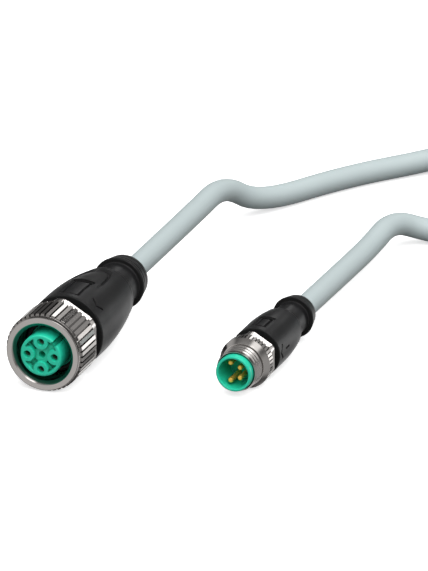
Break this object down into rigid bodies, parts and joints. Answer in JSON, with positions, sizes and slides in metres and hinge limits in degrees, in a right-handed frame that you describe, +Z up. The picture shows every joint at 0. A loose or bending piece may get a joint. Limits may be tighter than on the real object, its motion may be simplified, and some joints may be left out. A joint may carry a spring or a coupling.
{
  "type": "extension cable",
  "caption": "Sensor extension cable: round grey cable with a moulded M12 socket connector at one end and a moulded M8 pin connector at the other, its spare length coiled.",
  "frame": {"origin": "on the ground under the middle of the two connectors, measured without the free cable", "axes": "+Z up; both connectors lie along Y with their contact faces to -Y; the M12 socket end is at -X and the M8 pin end at +X"},
  "size_m": [0.0929, 0.1474, 0.0153],
  "materials": {
    "nickel_plated_brass": "nickel plated, turned and knurled",
    "gold_plated_contact": "gold plated",
    "green_insert": "satin moulded",
    "black_grip": "fine satin overmould",
    "inner_mould": "as moulded",
    "seal_rubber": "smooth",
    "grey_cable_jacket": "satin extruded jacket",
    "brown_wire_insulation": "extruded",
    "white_wire_insulation": "extruded",
    "blue_wire_insulation": "extruded",
    "black_wire_insulation": "extruded"
  },
  "bodies": {
    "cordset": {"m12_contact_carrier": "green_insert", "m12_sealing_ring": "seal_rubber", "m12_socket_contact_1": "gold_plated_contact", "m12_socket_contact_2": "gold_plated_contact", "m12_socket_contact_3": "gold_plated_contact", "m12_socket_contact_4": "gold_plated_contact", "m12_inner_mould": "inner_mould", "m12_grip": "black_grip", "m12_brown_wire": "brown_wire_insulation", "m12_white_wire": "white_wire_insulation", "m12_blue_wire": "blue_wire_insulation", "m12_black_wire": "black_wire_insulation", "m8_contact_carrier": "green_insert", "m8_pin_contact_1": "gold_plated_contact", "m8_pin_contact_2": "gold_plated_contact", "m8_pin_contact_3": "gold_plated_contact", "m8_pin_contact_4": "gold_plated_contact", "m8_inner_mould": "inner_mould", "m8_grip": "black_grip", "m8_brown_wire": "brown_wire_insulation", "m8_white_wire": "white_wire_insulation", "m8_blue_wire": "blue_wire_insulation", "m8_black_wire": "black_wire_insulation", "m12_cable_lead": "grey_cable_jacket", "cable_coil": "grey_cable_jacket", "m8_cable_lead": "grey_cable_jacket"},
    "m12_nut": {"m12_coupling_nut": "nickel_plated_brass"},
    "m8_sleeve": {"m8_threaded_sleeve": "nickel_plated_brass"}
  },
  "joints": [
    {"name": "m12_nut_spin", "type": "hinge", "parent": "cordset", "child": "m12_nut", "pos_m": [-0.01582, -0.01645, 0.00765], "axis": [0, -1, 0], "continuous": true},
    {"name": "m8_sleeve_spin", "type": "hinge", "parent": "cordset", "child": "m8_sleeve", "pos_m": [0.01847, -0.00605, 0.005], "axis": [0, -1, 0], "continuous": true}
  ]
}
